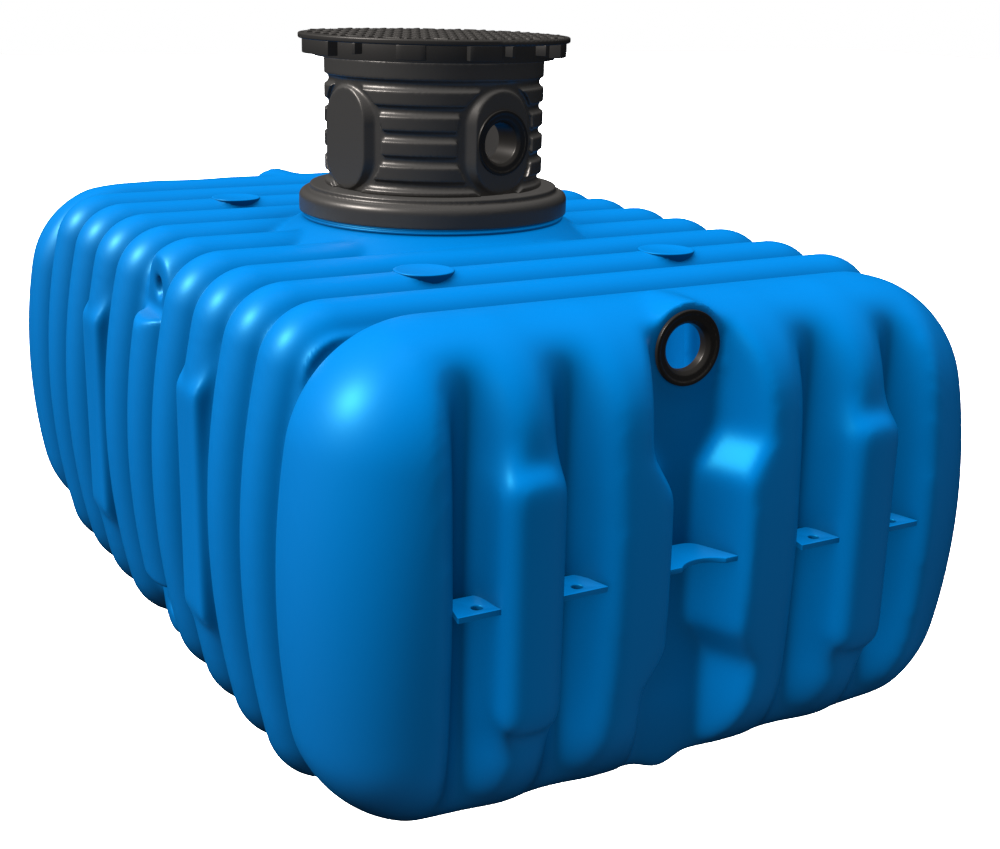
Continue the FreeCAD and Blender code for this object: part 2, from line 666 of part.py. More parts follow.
def end_form(kind, inset):
    # the outer form has inset "0"; the hollow inside it stays one wall further in
    hollow = inset != "0"
    less = size("wall") if hollow else 0
    begin = "Sizes.barrel_end" + (" - 20" if hollow else "")
    run = run_out(kind + "_run", section_loop(kind + "_section", "corner_radius", less, inset, "-(" + begin + ")"),
                  "Sizes.end_reach + 60 - (" + begin + ")")
    bow = cylinder(kind + "_bow", "Sizes.end_bow_radius - " + inset, "3 * Sizes.half_width",
                   "-1.5 * Sizes.half_width", "Sizes.end_bow_radius - Sizes.end_reach", "0", LENGTHWISE, 90)
    blank = common(kind + "_blank", [run, bow])
    axis_y = size("end_bow_radius") - size("end_reach")

    def on_bow(edge):
        return all(abs(math.hypot(point.y - axis_y, point.z) - size("end_bow_radius") + less) < 0.01
                   and point.y < 0 for point in along(edge))

    envelope = rounded(kind + "_envelope", blank, size("roll_radius") - less, on_bow)
    tall = "(Sizes.half_height + 60)"
    front = "(Sizes.end_reach + 60)"

    def groove(name, half, floor_half, floor, x):
        deep = "(Sizes.%s - %s)" % (floor, inset)
        wide = flank(half, floor_half, floor, front) + " + " + inset
        narrow = flank(half, floor_half, floor, deep) + " + " + inset
        return wedge(name, ("-" + front, x + " - (" + wide + ")", x + " + " + wide, "-" + tall, tall),
                     ("-" + deep, x + " - (" + narrow + ")", x + " + " + narrow, "-" + tall, tall))

    def soft_floor(tool, floor, radius):
        # the mould's grooves have round floor edges; the hollow inside keeps plain ones
        if hollow:
            return tool
        return rounded(tool.Name + "_soft", tool, radius,
                       lambda edge: abs(edge.BoundBox.YMax + size(floor)) < 0.01 and edge.BoundBox.YLength < 0.01
                       and edge.BoundBox.ZLength > size("half_height"))

    recess = groove(kind + "_recess", "recess_half_width", "recess_floor_half_width", "recess_floor", "0")
    recessed = cut(kind + "_recessed", envelope, soft_floor(recess, "recess_floor", size("recess_round")))

    hip = doc.addObject("Part::Loft", kind + "_hip")
    hip.Sections = [hip_outline(kind + "_hip_front", front, inset),
                    hip_outline(kind + "_hip_root", "(Sizes.recess_floor - %s - 2)" % inset, inset)]
    hip.Solid = True
    hip.Ruled = True
    hip_trimmed = common(kind + "_hip_trimmed", [hip, envelope])
    column_low = "(Sizes.groove_inner_x + Sizes.groove_outer_x) / 2 - Sizes.end_column_half_width"
    column_high = "(Sizes.groove_inner_x + Sizes.groove_outer_x) / 2 + Sizes.end_column_half_width"
    face_rise = "(Sizes.end_column_half_height - %s / 2)" % inset
    root_rise = "(Sizes.end_column_half_height + Sizes.end_column_ramp - %s / 2)" % inset
    end_column = wedge(kind + "_column",
                       ("-(Sizes.end_column_face - %s)" % inset, column_low, column_high,
                        "-" + face_rise, face_rise),
                       ("-(Sizes.end_reach - Sizes.end_column_root)", column_low, column_high,
                        "-" + root_rise, root_rise))
    bosses = [cylinder(kind + "_" + name, "Sizes.%s_radius - %s" % (name, inset),
                       "Sizes.%s_face - Sizes.boss_root" % name, "0", "-Sizes.boss_root + " + inset,
                       sign + "Sizes.boss_height", SIDEWAYS, 90)
              for name, sign in (("boss", ""), ("lower_boss", "-"))]
    raised = fuse(kind + "_raised", [recessed, hip_trimmed, opposite(hip_trimmed, SIDEWAYS), end_column,
                                     opposite(end_column, SIDEWAYS)] + bosses)
    grooves = [soft_floor(groove(kind + "_groove", "groove_half_width", "groove_floor_half_width",
                                 "groove_floor", x), "groove_floor", size("groove_round"))
               for x in ("Sizes.groove_inner_x", "Sizes.groove_outer_x")]
    grooves += [opposite(item, SIDEWAYS) for item in grooves]
    form = cut(kind + "_form", raised, group(kind + "_grooves", grooves))
    if hollow:
        return form

    def inner_lip(edge):
        # mouth edges of the inner grooves, off the round floor
        return all(abs(abs(abs(point.x) - size("groove_inner_x"))
                       - slope_at("groove_half_width", "groove_floor_half_width", "groove_floor", point.y)) < 0.05
                   and -point.y > size("groove_floor") + size("groove_round") for point in along(edge))

    def recess_lip(edge):
        # mouth edges of the recess, which run in over the hips at mid-height
        beside = [slope_at("recess_half_width", "recess_floor_half_width", "recess_floor", point.y)
                  - abs(point.x) for point in along(edge)]
        return (all(-0.05 < gap < size("hip_inset") + 0.05 for gap in beside)
                and edge.BoundBox.ZLength > 1
                and -edge.BoundBox.YMax > size("recess_floor") + size("recess_round"))

    return rounded("end_lips", form, size("lip_round"), lambda edge: inner_lip(edge) or recess_lip(edge))


end_rib = common("end_rib", [ribbed_wall("end_rib_wall", "corner_radius", "end_rib_start", 1),
                             box("end_rib_space", "4 * Sizes.half_width", "Sizes.rib_pitch / 2", "2 * Sizes.half_height",
                                 "-2 * Sizes.half_width", "-Sizes.barrel_end", "0")])
end_wall = cut("end_wall", end_form("outside", "0"), end_form("inside", "Sizes.wall"))
end_shell = fuse("end_shell", [end_wall, end_rib, opposite(end_rib, UP)])
end_bore = cylinder("end_bore", "Sizes.seal_bore", "200", "0", "-Sizes.boss_face + 100",
                    "Sizes.boss_height", SIDEWAYS, 90)
end_open = cut("end_open", end_shell, end_bore)


# Rubber seal: a flange outside the wall, a sleeve through the bore and a tapering mouth

def seal_ring(name, face, height):
    tail = "-%s - Sizes.seal_flange + Sizes.seal_depth" % face
    flange = cylinder(name + "_flange", "Sizes.seal_flange_radius", "Sizes.seal_flange", "0", "-" + face,
                      height, SIDEWAYS, 90)
    sleeve = cylinder(name + "_sleeve", "Sizes.seal_bore - Sizes.seal_fit", "Sizes.seal_depth", "0", tail,
                      height, SIDEWAYS, 90)
    mouth = cone(name + "_mouth", "Sizes.seal_lip_radius", "Sizes.seal_mouth_radius",
                 "Sizes.seal_depth - Sizes.seal_lip", "0", tail + " - Sizes.seal_lip", height, SIDEWAYS, 90)
    lip = cylinder(name + "_lip", "Sizes.seal_lip_radius", "Sizes.seal_lip", "0", tail, height, SIDEWAYS, 90)
    return cut(name, fuse(name + "_body", [flange, sleeve]), fuse(name + "_hole", [mouth, lip]))


end_seal = seal_ring("end_seal", "Sizes.boss_face", "Sizes.boss_height")

# Bracket plates between the groove sides at the mid-plane, and the web across the recess

half_plate = "Sizes.bracket_plate / 2"
plate_rows = []
for row_x in ("Sizes.groove_inner_x", "Sizes.groove_outer_x"):
    wide = flank("groove_half_width", "groove_floor_half_width", "groove_floor", "Sizes.bracket_front")
    narrow = flank("groove_half_width", "groove_floor_half_width", "groove_floor", "Sizes.bracket_back")
    plate = wedge("bracket_plate",
                  ("-Sizes.bracket_front", row_x + " - " + wide, row_x + " + " + wide,
                   "-" + half_plate, half_plate),
                  ("-Sizes.bracket_back", row_x + " - " + narrow, row_x + " + " + narrow,
                   "-" + half_plate, half_plate))
    hole = cylinder("bracket_hole", "Sizes.bracket_hole_radius", "2 * Sizes.bracket_plate", row_x,
                    "-Sizes.bracket_hole_reach", "-Sizes.bracket_plate")
    bracket = cut("bracket", plate, hole)
    plate_rows.append(group("bracket_pair", [bracket, opposite(bracket, SIDEWAYS)]))

web_wide = "(%s - Sizes.hip_inset)" % flank("recess_half_width", "recess_floor_half_width", "recess_floor",
                                           "Sizes.web_front")
web_narrow = "(Sizes.recess_floor_half_width - Sizes.hip_inset)"
web_plate = wedge("web_plate",
                  ("-Sizes.web_front", "-" + web_wide, web_wide, "-" + half_plate, half_plate),
                  ("-Sizes.recess_floor", "-" + web_narrow, web_narrow, "-" + half_plate, half_plate))
web_hollow = cylinder("web_hollow", "Sizes.web_hollow_radius", "2 * Sizes.bracket_plate", "0",
                      "-Sizes.web_front - Sizes.web_hollow_radius * 0.7", "-Sizes.bracket_plate")
recess_web = cut("recess_web", web_plate, web_hollow)

for label, item in (("end", end_open), ("seal", end_seal), ("inner_brackets", plate_rows[0]),
                    ("outer_brackets", plate_rows[1]), ("web", recess_web)):
    finished("front_" + label, group("front_" + label + "_piece", [item]))
    finished("back_" + label, mirror("back_" + label + "_piece", item, LENGTHWISE))

# Neck collar: two rings on the flare, under the shaft's flange

ring_height = "((Sizes.flange_bottom - Sizes.neck_top) / 2)"
ring_low = cylinder("collar_low", "Sizes.neck_radius", ring_height, z="Sizes.neck_top")
ring_high = cylinder("collar_high", "Sizes.neck_radius - Sizes.collar_step", ring_height,
                     z="Sizes.neck_top + " + ring_height)
ring_bore = cylinder("collar_bore", "Sizes.neck_bore", "100", z="Sizes.neck_top - 50")
finished("neck_collar", cut("collar", fuse("collar_rings", [ring_low, ring_high]), ring_bore))

# Shaft base: a broad flange with a step, and a spigot that drops into the neck

band = cylinder("flange_band", "Sizes.flange_radius", "Sizes.flange_band", z="Sizes.flange_bottom")
step = cylinder("flange_step", "Sizes.flange_step_radius", "Sizes.shaft_bottom - Sizes.flange_bottom",
                z="Sizes.flange_bottom")
spigot = cylinder("spigot", "Sizes.neck_bore - Sizes.shaft_fit", "Sizes.spigot_drop + 1",
                  z="Sizes.flange_bottom - Sizes.spigot_drop")
base_bore = cylinder("base_bore", "Sizes.neck_bore - Sizes.shaft_fit - Sizes.wall", "400",
                     z="Sizes.flange_bottom - 200")
base = cut("base", fuse("base_rings", [band, step, spigot]), base_bore)


def flange_rim(edge):
    level = size("flange_bottom") + size("flange_band")
    extent = edge.BoundBox
    return (abs(extent.ZMin - level) < 0.01 and extent.ZLength < 0.01
            and abs(extent.XMax - size("flange_radius")) < 0.01)


finished("shaft_base", rounded("base_rounded", base, size("flange_edge"), flange_rim))


# Shaft body: a tube with round grooves, and four flat facets each in a shallow pocket

def turned(name, item, quarter):
    copy = group(name, [item])
    copy.Placement = FreeCAD.Placement(CENTRE, FreeCAD.Rotation(UP, size("shaft_turn") + 90 * quarter))
    return copy


def stadium(name, half, height, begin, length, slope):
    # an upright slot shape run inwards from the reach "begin", its sides spreading by the slope
    sketch = doc.addObject("Sketcher::SketchObject", name + "_outline")
    sketch.Placement = FreeCAD.Placement(CENTRE, FreeCAD.Rotation(SIDEWAYS, 90))
    sketch.setExpression("Placement.Base.y", "-(%s)" % begin)
    sketch.setExpression("Placement.Base.z", "Sizes.facet_middle")
    sketch.addGeometry([arc(0, 40, 90, 0, 180), line(-90, 40, -90, -40), arc(0, -40, 90, 180, 360),
                        line(90, -40, 90, 40)], False)
    for piece, other in ((0, 1), (1, 2), (2, 3)):
        rule(sketch, "Tangent", piece, 2, other, 1)
    rule(sketch, "Coincident", 3, 2, 0, 1)
    rule(sketch, "Vertical", 1)
    rule(sketch, "Symmetric", 0, 3, 2, 3, -1, 1)
    rule(sketch, "PointOnObject", 0, 3, -2)
    dimension(sketch, "half", half, "Radius", 0, 90)
    dimension(sketch, "straight", "%s - 2 * (%s)" % (height, half), "DistanceY", 2, 3, 0, 3, 80)
    item = doc.addObject("Part::Extrusion", name)
    item.Base = sketch
    item.DirMode = "Custom"
    item.Dir = LENGTHWISE
    item.Solid = True
    bind(item, LengthFwd=length, TaperAngle=slope)
    return item


tube = cylinder("shaft_tube", "Sizes.shaft_radius", "Sizes.shaft_top - Sizes.shaft_bottom", z="Sizes.shaft_bottom")
grooves = [torus("shaft_groove", "Sizes.shaft_radius + Sizes.shaft_groove_radius - Sizes.shaft_groove_depth",
                 "Sizes.shaft_groove_radius",
                 z="Sizes.shaft_groove_first + %d * Sizes.shaft_groove_pitch" % ring)
           for ring in range(int(size("shaft_grooves")))]
pocket_run = stadium("pocket_run", "(Sizes.facet_half_width + Sizes.facet_margin)",
                     "(Sizes.facet_height + Sizes.facet_margin)", "Sizes.shaft_radius + 40", "120", "0")
pocket_floor = cylinder("pocket_floor", "Sizes.shaft_radius - Sizes.shaft_groove_depth",
                        "Sizes.shaft_top", z="Sizes.shaft_bottom - 100")
pocket = cut("pocket", pocket_run, pocket_floor)
facet = stadium("facet", "Sizes.facet_half_width", "Sizes.facet_height", "Sizes.facet_reach",
                "Sizes.facet_reach - Sizes.shaft_bore + 30", "Sizes.facet_slope")
pockets = [turned("pocket_%d" % quarter, pocket, quarter) for quarter in range(4)]
shaft_zone = cylinder("shaft_zone", "2 * Sizes.shaft_radius", "Sizes.shaft_top - Sizes.shaft_bottom",
                      z="Sizes.shaft_bottom")
facet_trimmed = common("facet_trimmed", [facet, shaft_zone])
facets = [turned("facet_%d" % quarter, facet_trimmed, quarter) for quarter in range(4)]
grooved = cut("shaft_grooved", cut("shaft_ringed", tube, group("shaft_groove_row", grooves)),
              group("pocket_row", pockets))
port_bore = turned("port_bore", cylinder("port_hole", "Sizes.seal_bore", "200", "0", "-Sizes.shaft_bore + 100",
                                         "Sizes.facet_middle", SIDEWAYS, 90), 0)
shaft_bore = cylinder("shaft_hollow", "Sizes.shaft_bore", "Sizes.shaft_top", z="Sizes.shaft_bottom - 100")
finished("shaft_body", cut("shaft", fuse("shaft_with_facets", [grooved] + facets),
                           fuse("shaft_inside", [port_bore, shaft_bore])))
port_seal = seal_ring("port_seal_ring", "Sizes.facet_reach", "Sizes.facet_middle")
finished("port_seal", turned("port_seal_turned", port_seal, 0))

# Cover: plate, skirt, lugs round the skirt and gussets under the plate

plate_bottom = "(Sizes.cover_top - Sizes.cover_plate)"
disc = cylinder("cover_disc", "Sizes.cover_radius", "Sizes.cover_plate", z=plate_bottom)
finished("cover_plate", group("cover_disc_piece", [
    rounded("cover_rounded", disc, size("cover_edge"), lambda edge: edge.BoundBox.ZLength < 0.01)]))
skirt_outside = cylinder("skirt_outside", "Sizes.skirt_radius", "Sizes.cover_top - Sizes.cover_plate - Sizes.shaft_top",
                         z="Sizes.shaft_top")
skirt_inside = cylinder("skirt_inside", "Sizes.skirt_radius - Sizes.skirt_wall", "400", z="Sizes.shaft_top - 100")
finished("cover_skirt", cut("skirt", skirt_outside, skirt_inside))


def sector_row(name, spans, reach, height):
    # blocks on the outside of the skirt, each given by its first angle and its sweep, and repeated opposite
    blocks = []
    for first, sweep in spans:
        for half_turn in (0, 180):
            block = cylinder(name + "_block", reach, height, z=plate_bottom + " - " + height, axis=UP,
                             angle=first + half_turn)
            block.Angle = sweep
            blocks.append(block)
    clear = cylinder(name + "_clear", "Sizes.skirt_radius + Sizes.seal_fit", "400", z="Sizes.shaft_top - 100")
    return cut(name, group(name + "_blocks", blocks), clear)


lug_spans = [(160, 33), (227, 12), (257, 14), (311, 20)]
gusset_spans = [(207, 1.5), (276, 1.5), (296, 1.5)]
finished("cover_lugs", sector_row("lugs", lug_spans, "Sizes.lug_reach", "Sizes.lug_height"))
finished("cover_gussets", sector_row("gussets", gusset_spans, "Sizes.lug_reach", "Sizes.gusset_height"))

# Every object must have been worked out soundly before the pieces are written

doc.recompute()
for item in doc.Objects:
    if "Invalid" in item.State or "Error" in item.State:
        raise RuntimeError(item.Name + " could not be worked out: " + str(item.State))
os.makedirs("parts", exist_ok=True)
for item in nodes:
    if item.Shape.isNull() or not item.Shape.isValid() or not item.Shape.Solids:
        raise RuntimeError(item.Label + " is not a sound solid")
    item.Shape.exportStep("parts/" + item.Label + ".step")
    extent = item.Shape.BoundBox
    print("%-22s solids %d  volume %.0f cm3  x %.0f %.0f  y %.0f %.0f  z %.0f %.0f" % (
        item.Label, len(item.Shape.Solids), item.Shape.Volume / 1000, extent.XMin, extent.XMax,
        extent.YMin, extent.YMax, extent.ZMin, extent.ZMax))
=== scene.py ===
# Looks of a flat underground water tank: one blue moulding with ribbed walls and grooved ends, rubber
# pipe seals, and a dark access shaft under a round anti-slip cover. All lengths are in metres, in the
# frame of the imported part: +Z up, +Y along the tank to its back end.

import bpy
import math
from mathutils import Matrix, Vector


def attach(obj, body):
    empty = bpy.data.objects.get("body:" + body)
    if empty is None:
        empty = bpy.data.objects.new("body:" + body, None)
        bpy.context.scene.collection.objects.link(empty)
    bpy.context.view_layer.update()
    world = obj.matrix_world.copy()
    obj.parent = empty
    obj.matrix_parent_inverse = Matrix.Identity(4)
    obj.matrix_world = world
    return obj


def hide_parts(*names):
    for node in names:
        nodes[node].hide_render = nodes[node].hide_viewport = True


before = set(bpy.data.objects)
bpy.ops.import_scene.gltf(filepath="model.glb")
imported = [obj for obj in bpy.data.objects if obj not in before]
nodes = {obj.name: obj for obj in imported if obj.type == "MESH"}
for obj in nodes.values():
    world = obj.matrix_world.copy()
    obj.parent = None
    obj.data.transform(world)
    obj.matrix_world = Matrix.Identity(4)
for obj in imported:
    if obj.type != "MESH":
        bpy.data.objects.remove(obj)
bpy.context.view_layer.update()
MM = 0.001


# Tank moulding
# The real tank is rotomoulded in one piece from polyethylene, so its halves and ends run into one
# another and every edge is soft. The four shell nodes are closed over their openings, remeshed as
# one skin, softened, opened again and cut at mid-height and in the last rib valleys.

SKIN_GRAIN = 10 * MM
SKIN_PASSES = 10
MID_HEIGHT = 605 * MM
LAST_VALLEY = 1017 * MM


def only(piece):
    # the piece becomes the one selected and active object
    bpy.ops.object.select_all(action="DESELECT")
    piece.select_set(True)
    bpy.context.view_layer.objects.active = piece


def joined(main, *others):
    # the others become part of the main piece
    only(main)
    for piece in others:
        piece.select_set(True)
    bpy.ops.object.join()


def copied(title, *names):
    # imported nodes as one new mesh, with their loose triangles merged
    copies = []
    for name in names:
        copies.append(bpy.data.objects.new(title, nodes[name].data.copy()))
        bpy.context.scene.collection.objects.link(copies[-1])
    if len(copies) > 1:
        joined(*copies)
    only(copies[0])
    bpy.ops.mesh.customdata_custom_splitnormals_clear()
    bpy.ops.object.mode_set(mode="EDIT")
    bpy.ops.mesh.select_all(action="SELECT")
    bpy.ops.mesh.remove_doubles(threshold=0.02 * MM)
    bpy.ops.object.mode_set(mode="OBJECT")
    return copies[0]


def pick(piece, wanted):
    # selects the faces whose middle and normal pass the test, and stays in edit mode
    only(piece)
    bpy.ops.object.mode_set(mode="EDIT")
    bpy.ops.mesh.select_mode(type="FACE")
    bpy.ops.mesh.select_all(action="DESELECT")
    bpy.ops.object.mode_set(mode="OBJECT")
    for face in piece.data.polygons:
        face.select = wanted(face.center, face.normal)
    bpy.ops.object.mode_set(mode="EDIT")


def remove_faces(piece, wanted):
    pick(piece, wanted)
    bpy.ops.mesh.delete(type="FACE")
    bpy.ops.object.mode_set(mode="OBJECT")


def change(piece, title, kind, **settings):
    # adds a modifier with its settings and applies it
    only(piece)
    modifier = piece.modifiers.new(title, kind)
    for name, value in settings.items():
        setattr(modifier, name, value)
    bpy.ops.object.modifier_apply(modifier=title)


def softened(piece, grain, passes):
    # remeshes the piece evenly and rounds its edges
    only(piece)
    piece.data.remesh_voxel_size = grain
    bpy.ops.object.voxel_remesh()
    change(piece, "soft edges", "SMOOTH", factor=0.5, iterations=passes)
    bpy.ops.object.shade_smooth()


def dressed(piece, material, slot, *names):
    # gives a finished piece its material and its place in the part
    piece.data.materials.clear()
    piece.data.materials.append(material)
    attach(piece, "root")
    if names:
        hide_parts(*names)


def linear(code):
    # an sRGB hex colour as the linear red, green, blue and alpha that shaders take
    parts = [int(code[place:place + 2], 16) / 255 for place in (1, 3, 5)]
    return [part / 12.92 if part <= 0.04045 else ((part + 0.055) / 1.055) ** 2.4 for part in parts] + [1.0]


def node(tree, kind, **links):
    # one shader node, each input given by name as a value or as a linked socket
    made = tree.nodes.new(kind)
    for name, value in links.items():
        socket = made.inputs[name.replace("_", " ")]
        if isinstance(value, bpy.types.NodeSocket):
            tree.links.new(value, socket)
        else:
            socket.default_value = value
    return made


def surface(name, colour, roughness, shine, gloss):
    # a plain plastic, rubber or paint; shine is the colour of its highlights and gloss their strength
    material = bpy.data.materials.new(name)
    material.use_nodes = True
    shader = material.node_tree.nodes["Principled BSDF"]
    shader.inputs["Base Color"].default_value = linear(colour)
    shader.inputs["Roughness"].default_value = roughness
    shader.inputs["Specular Tint"].default_value = linear(shine)
    shader.inputs["Specular IOR Level"].default_value = gloss
    return material


# painted shade: the blue is darkened by ambient occlusion in grooves, valleys and other hollows up to this
# wide
PAINTED_SHADE_REACH = 230 * MM
TANK_BLUE = "#004170"
PAINTED_SHADE_BLUE = "#001B33"
polyethylene = surface("rotomoulded blue polyethylene", TANK_BLUE, 0.42, "#14DCFF", 0.24)
tree = polyethylene.node_tree
painted_shade_ao = node(tree, "ShaderNodeAmbientOcclusion", Distance=PAINTED_SHADE_REACH)
painted_shade_ao.samples = 8
# painted shade: the mix turns the tank blue towards the dark blue wherever the occlusion finds a hollow
shade = node(tree, "ShaderNodeMixRGB", Fac=painted_shade_ao.outputs["AO"], Color1=linear(PAINTED_SHADE_BLUE),
             Color2=linear(TANK_BLUE))
tree.links.new(shade.outputs["Color"], tree.nodes["Principled BSDF"].inputs["Base Color"])

skin = copied("tank_moulding", "upper_shell", "lower_shell", "front_end", "back_end")

# plugs in the neck and in the two pipe bores, so that the skin stays outside
NECK_RADIUS = 312 * MM
NECK_TOP = 1231 * MM
NECK_PLUG = 40 * MM
SEAL_HEIGHT = 1107 * MM
SEAL_FACE = 1290 * MM
SEAL_BORE = 82 * MM
SEAL_PLUG = 24 * MM
PLUG_INSET = 1 * MM
plug_reach = SEAL_FACE - PLUG_INSET - SEAL_PLUG / 2
for place, turn, radius, depth in (((0, 0, NECK_TOP - NECK_PLUG / 2), 0, NECK_RADIUS, NECK_PLUG),
                                   ((0, -plug_reach, SEAL_HEIGHT), math.pi / 2, SEAL_BORE, SEAL_PLUG),
                                   ((0, plug_reach, SEAL_HEIGHT), math.pi / 2, SEAL_BORE, SEAL_PLUG)):
    bpy.ops.mesh.primitive_cylinder_add(vertices=96, radius=radius, depth=depth, location=place,
                                        rotation=(turn, 0, 0))
    joined(skin, bpy.context.object)

# round bars that fill out the proud columns on the ends
END_REACH = 1440 * MM
BAR_PLACE = 484 * MM
BAR_WIDTH = 170 * MM
BAR_DEPTH = 150 * MM
BAR_HEIGHT = 640 * MM
BAR_PROUD = 24 * MM
BAR_ROUND = 58 * MM
for side in (-1, 1):
    for end in (-1, 1):
        bpy.ops.object.select_all(action="DESELECT")
        bpy.ops.mesh.primitive_cube_add(size=1)
        bar = bpy.context.object
        bar.scale = (BAR_WIDTH, BAR_DEPTH, BAR_HEIGHT)
        bar.location = (side * BAR_PLACE, end * (END_REACH + BAR_PROUD - BAR_DEPTH / 2), MID_HEIGHT)
        bpy.ops.object.transform_apply(location=True, scale=True)
        change(bar, "round column", "BEVEL", width=BAR_ROUND, segments=8)
        joined(skin, bar)

softened(skin, SKIN_GRAIN, SKIN_PASSES)

# zones that are softer than the rest: the end walls, most of all their grooves, and the side columns
END_PASSES = 32
END_START = LAST_VALLEY + 90 * MM
SEAL_SEAT_RADIUS = 110 * MM
GROOVE_PASSES = 200
GROOVE_START = LAST_VALLEY + 120 * MM
GROOVE_MIDDLES = (348 * MM, 606 * MM)
GROOVE_HALF_WIDTH = 108 * MM
GROOVE_FADE = 35 * MM
BAR_CREST = END_REACH - 30 * MM
COLUMN_PASSES = 20
COLUMN_START = 860 * MM
COLUMN_PLACE = 452 * MM
COLUMN_HALF_WIDTH = 105 * MM
COLUMN_HALF_HEIGHT = 430 * MM


def from_seal(place):
    # distance from the axis of the pipe seals
    return math.hypot(place.x, place.z - SEAL_HEIGHT)


def on_end(place):
    # the grooved end walls, but not the flat faces that the seals sit on
    return abs(place.y) > END_START and from_seal(place) > SEAL_SEAT_RADIUS


def in_groove(place):
    # the end walls round the grooves, fading out over the crests between them, but not the columns
    on_bar = (abs(abs(place.x) - BAR_PLACE) < BAR_WIDTH / 2 and abs(place.z - MID_HEIGHT) < BAR_HEIGHT / 2
              and abs(place.y) > BAR_CREST)
    if abs(place.y) < GROOVE_START or on_bar:
        return 0
    beside = min(abs(abs(place.x) - middle) for middle in GROOVE_MIDDLES)
    return min(1, max(0, (GROOVE_HALF_WIDTH - beside) / GROOVE_FADE))


def on_column(place):
    # the flat columns on the sides
    return (abs(place.x) > COLUMN_START and abs(abs(place.y) - COLUMN_PLACE) < COLUMN_HALF_WIDTH
            and abs(place.z - MID_HEIGHT) < COLUMN_HALF_HEIGHT)


for title, wanted, passes in (("grooves", in_groove, GROOVE_PASSES), ("end_walls", on_end, END_PASSES),
                              ("side_columns", on_column, COLUMN_PASSES)):
    zone = skin.vertex_groups.new(name=title)
    for point in skin.data.vertices:
        weight = wanted(point.co)
        if weight:
            zone.add([point.index], weight, "REPLACE")
    change(skin, "round_" + title, "SMOOTH", factor=0.5, iterations=passes, vertex_group=title)

# the openings under the shaft and behind the seals, up to a narrow rim
OPENING_DEPTH = 60 * MM
NECK_RIM = 6 * MM
SEAL_RIM = 4 * MM


def in_opening(middle, normal):
    in_neck = middle.z > NECK_TOP - OPENING_DEPTH and math.hypot(middle.x, middle.y) < NECK_RADIUS - NECK_RIM
    in_end = abs(middle.y) > SEAL_FACE - OPENING_DEPTH and from_seal(middle) < SEAL_BORE - SEAL_RIM
    return in_neck or in_end


remove_faces(skin, in_opening)

LEVEL = (0, 0, MID_HEIGHT)
FRONT = (0, -LAST_VALLEY, 0)
BACK = (0, LAST_VALLEY, 0)
for name, cuts in (("upper_shell", ((LEVEL, (0, 0, 1)), (FRONT, (0, 1, 0)), (BACK, (0, -1, 0)))),
                   ("lower_shell", ((LEVEL, (0, 0, -1)), (FRONT, (0, 1, 0)), (BACK, (0, -1, 0)))),
                   ("front_end", ((FRONT, (0, -1, 0)),)),
                   ("back_end", ((BACK, (0, 1, 0)),))):
    only(skin)
    bpy.ops.object.duplicate()
    piece = bpy.context.object
    piece.name = "moulded_" + name
    bpy.ops.object.mode_set(mode="EDIT")
    for place, keep in cuts:
        bpy.ops.mesh.select_all(action="SELECT")
        bpy.ops.mesh.bisect(plane_co=place, plane_no=keep, clear_inner=True)
    bpy.ops.object.mode_set(mode="OBJECT")
    change(piece, "even shading", "DATA_TRANSFER", object=skin, use_loop_data=True,
           data_types_loops={"CUSTOM_NORMAL"}, loop_mapping="POLYINTERP_NEAREST")
    dressed(piece, polyethylene, "tank_plastic", name)
bpy.data.objects.remove(skin)


# Pads
# Round funnels moulded on the crests of two ribs, on the top and under the tank, each with a crisp rim
# round its flat face.

PAD_X = 376 * MM
PAD_Y = 678 * MM
PAD_RADIUS = 80 * MM
PAD_ROOT_RADIUS = 50 * MM
PAD_DEPTH = 64 * MM
PAD_RIM = 9 * MM
PAD_STEP = 4 * MM
PAD_SINK = 1.2 * MM
PAD_ROUND = 5 * MM
TANK_TOP = 1212 * MM


def placed(piece, matrix):
    # moves a piece that was modelled at the origin, and applies the move to its mesh
    piece.matrix_world = matrix
    only(piece)
    bpy.ops.object.transform_apply(location=True, rotation=True)


bpy.ops.object.select_all(action="DESELECT")
bpy.ops.mesh.primitive_cone_add(vertices=96, radius1=PAD_ROOT_RADIUS, radius2=PAD_RADIUS, depth=PAD_DEPTH,
                                location=(0, 0, -PAD_DEPTH / 2))
pad = bpy.context.object
bpy.ops.object.transform_apply(location=True)
pick(pad, lambda middle, normal: normal.z > 0.9)
bpy.ops.mesh.inset(thickness=PAD_RIM, depth=0)
bpy.ops.mesh.inset(thickness=PAD_STEP, depth=-PAD_SINK)
bpy.ops.object.mode_set(mode="OBJECT")
change(pad, "round rim", "BEVEL", width=PAD_ROUND, segments=4, limit_method="ANGLE",
       angle_limit=math.radians(30))
bpy.ops.object.shade_smooth_by_angle(angle=math.radians(40))
for title, level, turn in (("top_pads", TANK_TOP, 0), ("bottom_pads", 0, math.pi)):
    row = []
    for side in (-1, 1):
        for end in (-1, 1):
            only(pad)
            bpy.ops.object.duplicate()
            row.append(bpy.context.object)
            placed(row[-1], Matrix.Translation((side * PAD_X, end * PAD_Y, level))
                   @ Matrix.Rotation(turn, 4, "X"))
    joined(*row)
    row[0].name = title
    dressed(row[0], polyethylene, "tank_plastic")
bpy.data.objects.remove(pad)


# Brackets, webs and neck collar
# Thin plates moulded with the tank, across its grooves and recesses, and two rings round its neck,
# all with slightly rounded edges.

PLATE_EDGE = 3.5 * MM


def eased(name, width):
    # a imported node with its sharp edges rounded
    piece = copied("eased_" + name, name)
    change(piece, "eased edges", "BEVEL", width=width, segments=3, limit_method="ANGLE",
           angle_limit=math.radians(40))
    bpy.ops.object.shade_smooth_by_angle(angle=math.radians(35))
    return piece


for name in ("front_inner_brackets", "front_outer_brackets", "back_inner_brackets", "back_outer_brackets",
             "front_web", "back_web", "neck_collar"):
    dressed(eased(name, PLATE_EDGE), polyethylene, "tank_plastic", name)


# Pipe seals
# Soft EPDM rings pressed into the bores: a flange with a round bead outside the wall, dished
# towards a thin sleeve that grips the pipe.

